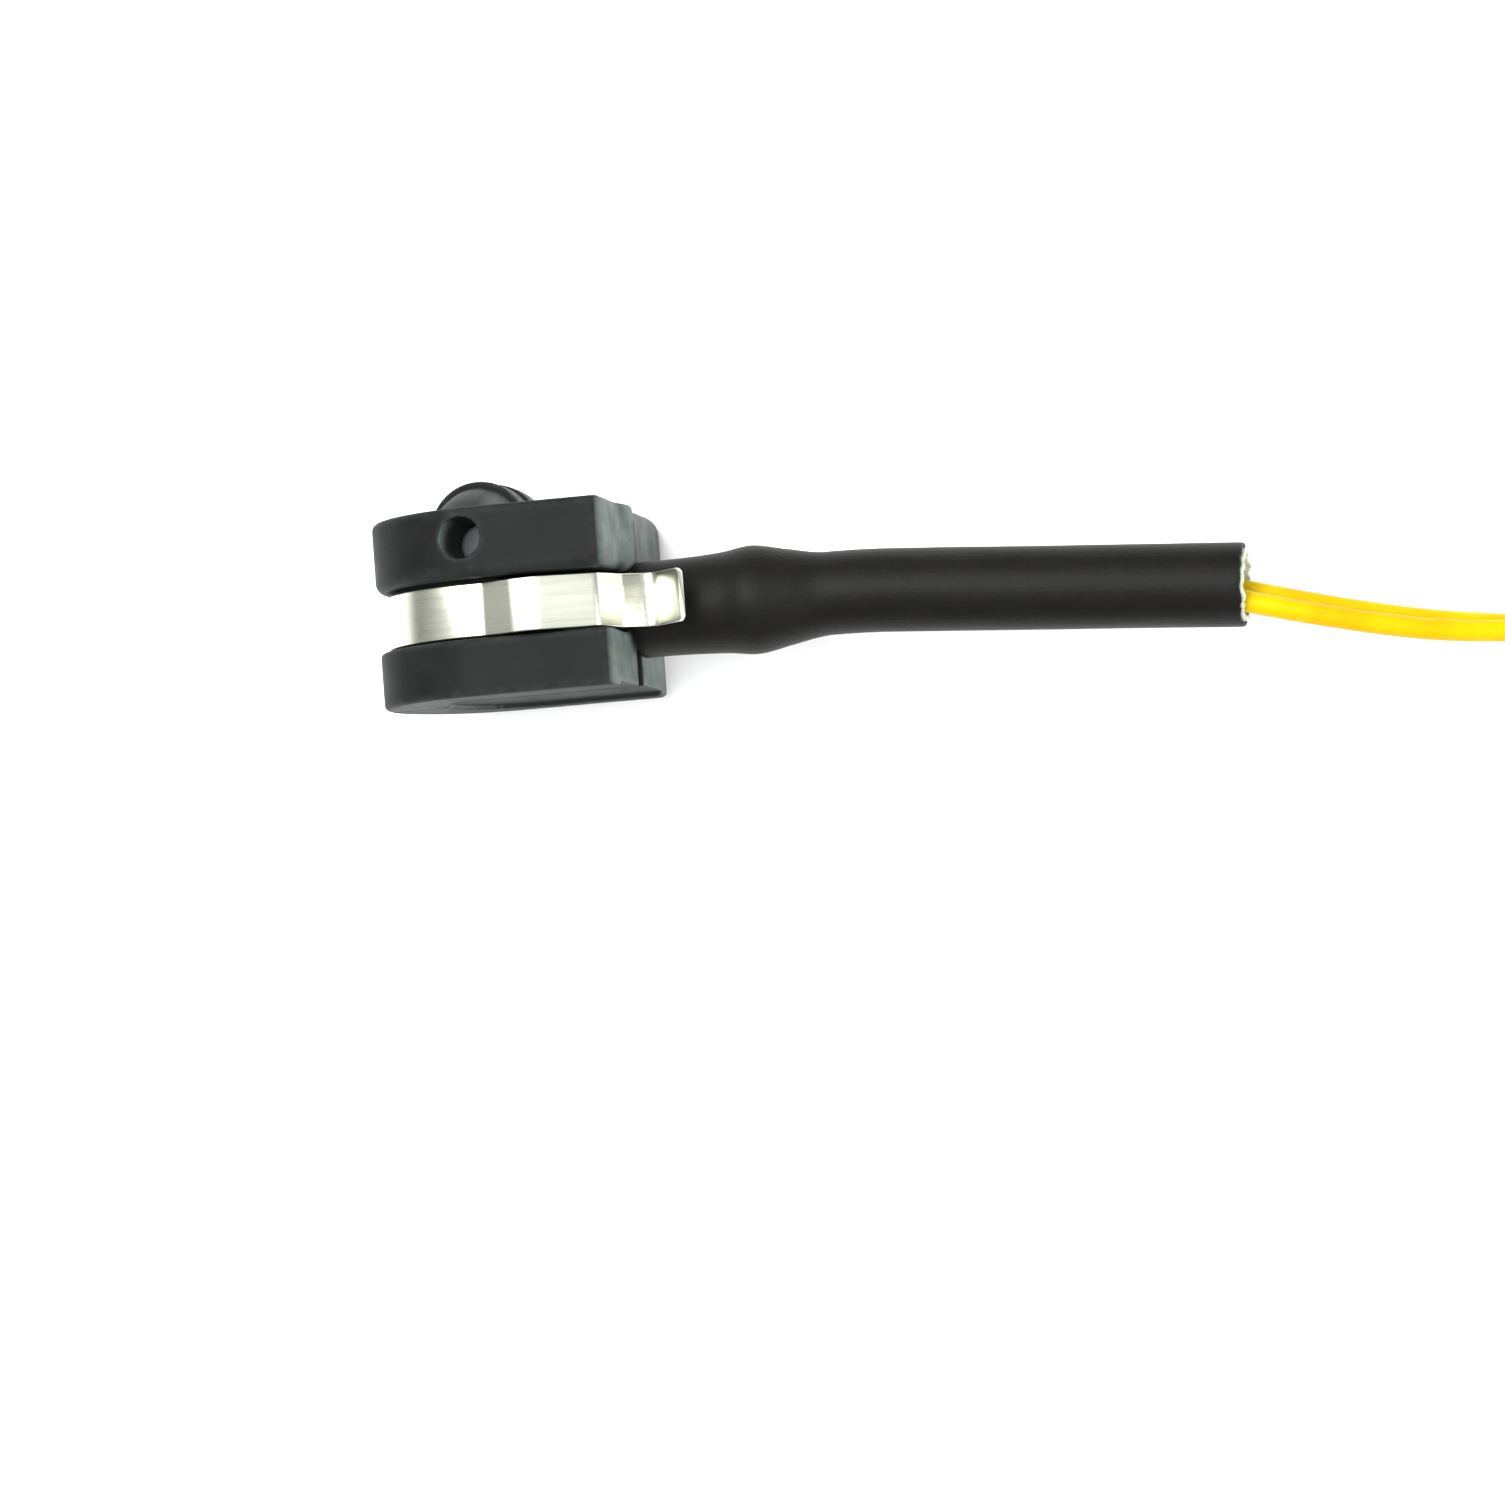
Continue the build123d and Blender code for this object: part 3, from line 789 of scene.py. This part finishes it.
class SENSOR_OT_clip(bpy.types.Operator):
    """Bends the spring strip round the head's web, each side in two runs that meet behind its crest"""

    bl_idname = "sensor.clip"
    bl_label = "Spring clip"

    bow_radius = 9.0
    bow_x = -11.5
    strip_y = -0.1
    # Corners of one leg in x and distance from the parting plane, from the bow to the curled end.
    leg = ((-10.6, 9.0), (-8.0, 10.2), (-6.15, 10.52), (-1.2, 9.0), (0.1, 5.8), (2.4, 3.8), (5.45, 6.7))
    leg_radii = (1.0, 1.4, 2.6, 0.45, 1.6, 1.5)
    # The two runs meet at join_x.
    join_x = -7.4
    fold = ((-10.9, 9.0), (-10.1, 9.0))
    crest = ((-6.6, 10.5), (-5.7, 10.5))
    step = 0.12
    # The curled end narrows by this much a side over its last stretch.
    end_trim = 0.35
    trim_length = 0.5

    def section(self, settings, x, u, normal, sign, half_width):
        """One rounded rectangle of strip, across the line at x, u."""
        half = settings.thickness / 2
        edge = settings.edge
        ring = []
        for quarter, (across, through) in enumerate(((1, 1), (-1, 1), (-1, -1), (1, -1))):
            for k in range(4):
                angle = math.radians(90 * quarter + 30 * k)
                b = across * (half_width - edge) + edge * math.cos(angle)
                a = through * (half - edge) + edge * math.sin(angle)
                ring.append(head_point(x + normal[0] * a, self.strip_y + b, sign * (u + normal[1] * a)))
        return ring

    def run(self, name, line, settings, sign):
        """A run of strip along a line of points, trimmed narrower where it ends in the curl."""
        rings = []
        for i, p in enumerate(line):
            ahead = line[min(i + 1, len(line) - 1)] - line[max(i - 1, 0)]
            ahead.normalize()
            normal = (-ahead.y, ahead.x)
            trim = 0.0
            if name.endswith("end"):
                left = (line[-1] - p).length
                trim = self.end_trim * max(0.0, 1 - left / self.trim_length) ** 2
            half_width = settings.width / 2 - trim
            rings.append(self.section(settings, p.x, p.y, normal, sign, half_width))
        return skin(name, rings)

    def execute(self, context):
        settings = context.scene.sensor_clip
        steel = steel_finish("Spring steel", settings.steel)
        arc = []
        count = int(self.bow_radius * math.pi / 2 / self.step)
        for i in range(count):
            angle = math.pi - i / count * math.pi / 2
            x = self.bow_x + self.bow_radius * math.cos(angle)
            arc.append(Vector((x, self.bow_radius * math.sin(angle))))
        leg = rounded_line(((self.bow_x, self.bow_radius),) + self.leg, self.leg_radii, self.step)
        line = arc + leg
        cut = next(i for i, p in enumerate(line) if p.x > self.join_x)
        for side, sign in (("near", 1), ("far", -1)):
            rear, front = f"clip_{side}_rear", f"clip_{side}_front"
            run = self.run(f"strip_{side}_run", line[: cut + 1], settings, sign)
            end = self.run(f"strip_{side}_end", line[cut:], settings, sign)
            for piece in (run, end):
                only_material(piece, steel)
            if side == "near":
                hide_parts("clip_bow", rear)
            else:
                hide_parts(rear)
            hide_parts(front)
            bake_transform(run)
            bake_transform(end)
        return {"FINISHED"}


# ------------------------------------------------------------------ sleeve
def swelling_at(x):
    """Half height, half width and sideways shift over the neck: one smooth line through STATIONS."""
    last = len(STATIONS) - 1
    at = next((i for i in range(last) if x <= STATIONS[i + 1][0]), last - 1)
    low, high = STATIONS[at], STATIONS[at + 1]
    span = high[0] - low[0]
    t = min(1.0, max(0.0, (x - low[0]) / span))
    values = []
    for k in (1, 2, 3):
        slopes = []
        for i in (at, at + 1):
            before, after = STATIONS[max(i - 1, 0)], STATIONS[min(i + 1, last)]
            inner = 0 < i < last
            slopes.append(span * (after[k] - before[k]) / (after[0] - before[0]) if inner else 0.0)
        rise = high[k] - low[k]
        lift = (3 - 2 * t) * t * t * rise
        lean = t * (1 - t) * ((1 - t) * slopes[0] - t * slopes[1])
        values.append(low[k] + lift + lean)
    return values


def sleeve_place(x):
    """Centre, heading, half height and half width of the sleeve at this x of the head's frame."""
    if x <= ROUND_FROM:
        half_y, half_z, shift = swelling_at(x)
        return Vector((x, NECK_Y, shift)), 0.0, half_y, half_z
    bend_x = ROUND_FROM + SLEEVE_BEND * math.sin(SLEEVE_TURN)
    angle = SLEEVE_TURN if x > bend_x else math.asin((x - ROUND_FROM) / SLEEVE_BEND)
    y = NECK_Y - SLEEVE_BEND * (1 - math.cos(angle))
    if x > bend_x:
        y -= (x - bend_x) * math.tan(SLEEVE_TURN)
    return Vector((x, y, 0.0)), angle, SLEEVE_RADIUS, SLEEVE_RADIUS


def sleeve_ring(x, inset, uneven, around, ragged=0.0):
    """One ring of the soft wall, a little wavy and, at a cut, ragged along its length."""
    centre, angle, half_y, half_z = sleeve_place(x)
    heading = Vector((math.cos(angle), -math.sin(angle), 0))
    side = Vector((math.sin(angle), math.cos(angle), 0))
    ring = []
    for i in range(around):
        turn = 2 * math.pi * i / around
        wave = noise.noise(Vector((x * 0.16, 1.7 * math.cos(turn), 1.7 * math.sin(turn))))
        ripple = noise.noise(Vector((x * 0.9 + 40, 2.5 * math.cos(turn), 2.5 * math.sin(turn))))
        out = 1.0 + (uneven * wave + 0.25 * uneven * ripple - inset) / half_y
        p = centre + side * (half_y * out * math.cos(turn)) + Vector((0, 0, half_z * out * math.sin(turn)))
        tear = noise.noise(Vector((11.0, 4 * math.cos(turn), 4 * math.sin(turn))))
        tear += 0.5 * noise.noise(Vector((5.0, 13 * math.cos(turn), 13 * math.sin(turn))))
        ring.append(head_point(*(p + heading * (ragged * tear))))
    return ring


class SENSOR_OT_sleeve(bpy.types.Operator):
    """Draws the coated sleeve over the neck, its pale liner and the frayed fibres at the cut"""

    bl_idname = "sensor.sleeve"
    bl_label = "Sleeve and liner"

    around = 96
    step = 0.3

    def wall(self, name, start, tip, outer, inner, uneven, ragged):
        """A closed tube wall from start to tip between two insets, with rounded lips."""
        count = int((tip - start) / self.step)
        between = [start + (tip - start) * i / count for i in range(1, count)]
        middle, half = (outer + inner) / 2, (inner - outer) / 2
        outside = [(x, outer, ragged * max(0, 1 - (tip - x) / 2)) for x in between]
        inside = [(x, inner, tear) for x, _, tear in reversed(outside)]
        lip = [(tip - 0.1, outer + 0.02, ragged), (tip, middle, ragged), (tip - 0.1, inner - 0.02, ragged)]
        root = [(start, middle, 0.0), (start + 0.05, middle - 0.7 * half, 0.0)]
        last = [(start + 0.05, middle + 0.7 * half, 0.0)]
        course = root + outside + lip + inside + last
        rings = [sleeve_ring(x, inset, uneven, self.around, tear) for x, inset, tear in course]
        return skin(name, rings, cap=False)

    def execute(self, context):
        settings = context.scene.sensor_sleeve
        uneven = settings.uneven
        coat = self.wall("sleeve", SLEEVE_START, TIP_X, 0.0, settings.wall - 0.02, uneven, 0.16)
        only_material(coat, sleeve_finish("Sleeve coating", settings.coating))
        outer, inner = settings.wall + 0.02, settings.wall + settings.liner - 0.06
        braid = self.wall("liner", SLEEVE_START + 0.2, TIP_X + 0.25, outer, inner, uneven, 0.22)
        pale = braid_finish("Glass braid", settings.braid)
        only_material(braid, pale)
        values = {
            "Count": settings.fibres,
            "Radius": (SLEEVE_RADIUS - settings.wall - 0.5 * settings.liner) * MM,
            "Length": 0.0006,
            "Thickness": 0.00003,
            "Seed": 7,
            "Material": pale,
        }
        fibres = grown("liner_fibres", fray_tree(), values)
        centre, angle, _, _ = sleeve_place(TIP_X)
        face = Matrix.Rotation(-angle, 4, "Z") @ Matrix.Rotation(math.pi / 2, 4, "Y")
        fibres.data.transform(Matrix.Translation(head_point(*centre)) @ face)
        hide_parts("outer_sleeve")
        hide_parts("inner_liner")
        for piece in (coat, braid, fibres):
            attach(piece, "sensor")
        return {"FINISHED"}


# ------------------------------------------------------------------ leads
class SENSOR_OT_leads(bpy.types.Operator):
    """Lays the two free leads from the sleeve to the plug"""

    bl_idname = "sensor.leads"
    bl_label = "Leads"

    def execute(self, context):
        settings = context.scene.sensor_leads
        yellow = insulation_finish("Yellow insulation", settings.yellow)
        on_a = (
            "connector_housing", "interface_seal", "latch_lever", "secondary_lock",
            "connector_retainer", "lead_a_tail", "wire_seal_a", "terminal_a",
        )
        on_b = ("lead_b_tail", "wire_seal_b", "terminal_b")
        for side, carried in (("a", on_a), ("b", on_b)):
            points = [Vector(p) * MM for p in LEAD_ROUTES[side]]
            curve = bpy.data.curves.new(f"lead_{side}", "CURVE")
            curve.dimensions = "3D"
            spline = curve.splines.new("NURBS")
            spline.points.add(len(points) - 1)
            for point, co in zip(spline.points, points):
                point.co = (*co, 1.0)
            spline.order_u = 3
            spline.use_endpoint_u = True
            spline.resolution_u = 16
            curve.bevel_depth = settings.diameter / 2 * MM
            curve.bevel_resolution = 8
            curve.use_fill_caps = True
            piece = new_object(f"lead_{side}", curve)
            only_material(piece, yellow)
            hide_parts(f"lead_{side}_free")
            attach(piece, "sensor")
            only_material(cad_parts[f"lead_{side}_inner"], yellow)
            only_material(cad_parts[f"lead_{side}_tail"], yellow)
        return {"FINISHED"}


# ------------------------------------------------------------------ plug
MOULDED_PLUG = {
    "connector_housing": ("plug_housing", "sensor", "plug_plastic"),
    "connector_retainer": ("plug_retainer", "sensor", "retainer_plastic"),
    "interface_seal": ("plug_seal", "sensor", "seal_rubber"),
    "latch_lever": ("plug_latch", "latch_lever", "plug_plastic"),
    "secondary_lock": ("plug_lock", "secondary_lock", "lock_plastic"),
    "wire_seal_a": ("plug_wire_seal_a", "sensor", "seal_rubber"),
    "wire_seal_b": ("plug_wire_seal_b", "sensor", "seal_rubber"),
}


class SENSOR_OT_plug(bpy.types.Operator):
    """Moulds the sealed plug: housing, seals, latch, lock and rear retainer"""

    bl_idname = "sensor.plug"
    bl_label = "Plug"

    def execute(self, context):
        settings = context.scene.sensor_plug
        nylon = moulded_finish("Plug nylon", settings.nylon, (0.09, 0.09, 0.095), 0.38, 5200.0, 0.00001, 0.6)
        dark = moulded_finish("Retainer nylon", (0.05, 0.05, 0.053), (0.14, 0.14, 0.145), 0.42)
        light = moulded_finish("Lock nylon", settings.lock, (0.62, 0.62, 0.6), 0.4, wear=0.4)
        seal = rubber_finish("Silicone seal", settings.seal, 0.4)
        finishes = {
            "plug_plastic": nylon,
            "retainer_plastic": dark,
            "lock_plastic": light,
            "seal_rubber": seal,
        }
        for node_name, (name, body, slot_name) in MOULDED_PLUG.items():
            voxel = settings.voxel if node_name == "connector_housing" else 0.7 * settings.voxel
            piece = moulded(node_name, name, voxel, 3, finishes[slot_name])
            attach(piece, body)
        low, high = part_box("latch_lever")
        values = {
            "Count": 4,
            "Pitch": 0.0007,
            "Length": 0.0064,
            "Radius": 0.00022,
            "Place": (low[0] + 0.0005, (low[1] + high[1]) / 2, high[2] - 0.00002),
            "Material": nylon,
        }
        ribs = grown("latch_ribs", rib_tree(), values)
        ribs.data.shade_smooth()
        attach(ribs, "latch_lever")
        return {"FINISHED"}


# ------------------------------------------------------------------ panel and registration
class SENSOR_PT_panel(bpy.types.Panel):
    """Sizes, finishes and build steps of the wear sensor"""

    bl_label = "Wear Sensor"
    bl_idname = "SENSOR_PT_panel"
    bl_space_type = "VIEW_3D"
    bl_region_type = "UI"
    bl_category = "Wear Sensor"

    def draw(self, context):
        for name, operator in STEPS:
            box = self.layout.box()
            box.operator(operator)
            settings = getattr(context.scene, name)
            for key in settings.__annotations__:
                box.prop(settings, key)


SETTINGS = {
    "sensor_stage": StageSettings,
    "sensor_head": HeadSettings,
    "sensor_clip": ClipSettings,
    "sensor_sleeve": SleeveSettings,
    "sensor_plug": PlugSettings,
    "sensor_leads": LeadSettings,
}
STEPS = (
    ("sensor_stage", "sensor.stage"),
    ("sensor_head", "sensor.head"),
    ("sensor_clip", "sensor.clip"),
    ("sensor_sleeve", "sensor.sleeve"),
    ("sensor_plug", "sensor.plug"),
    ("sensor_leads", "sensor.leads"),
)
CLASSES = tuple(SETTINGS.values()) + (
    SENSOR_OT_stage,
    SENSOR_OT_head,
    SENSOR_OT_clip,
    SENSOR_OT_sleeve,
    SENSOR_OT_plug,
    SENSOR_OT_leads,
    SENSOR_PT_panel,
)


def register():
    for item in CLASSES:
        bpy.utils.register_class(item)
    for name, item in SETTINGS.items():
        setattr(bpy.types.Scene, name, PointerProperty(type=item))


def unregister():
    for name in SETTINGS:
        delattr(bpy.types.Scene, name)
    for item in reversed(CLASSES):
        bpy.utils.unregister_class(item)


def main():
    """Builds the whole sensor, step by step."""
    register()
    make_groups()
    bpy.ops.sensor.stage()
    bpy.ops.sensor.head()
    bpy.ops.sensor.clip()
    bpy.ops.sensor.sleeve()
    bpy.ops.sensor.plug()
    bpy.ops.sensor.leads()


if __name__ == "__main__":
    main()
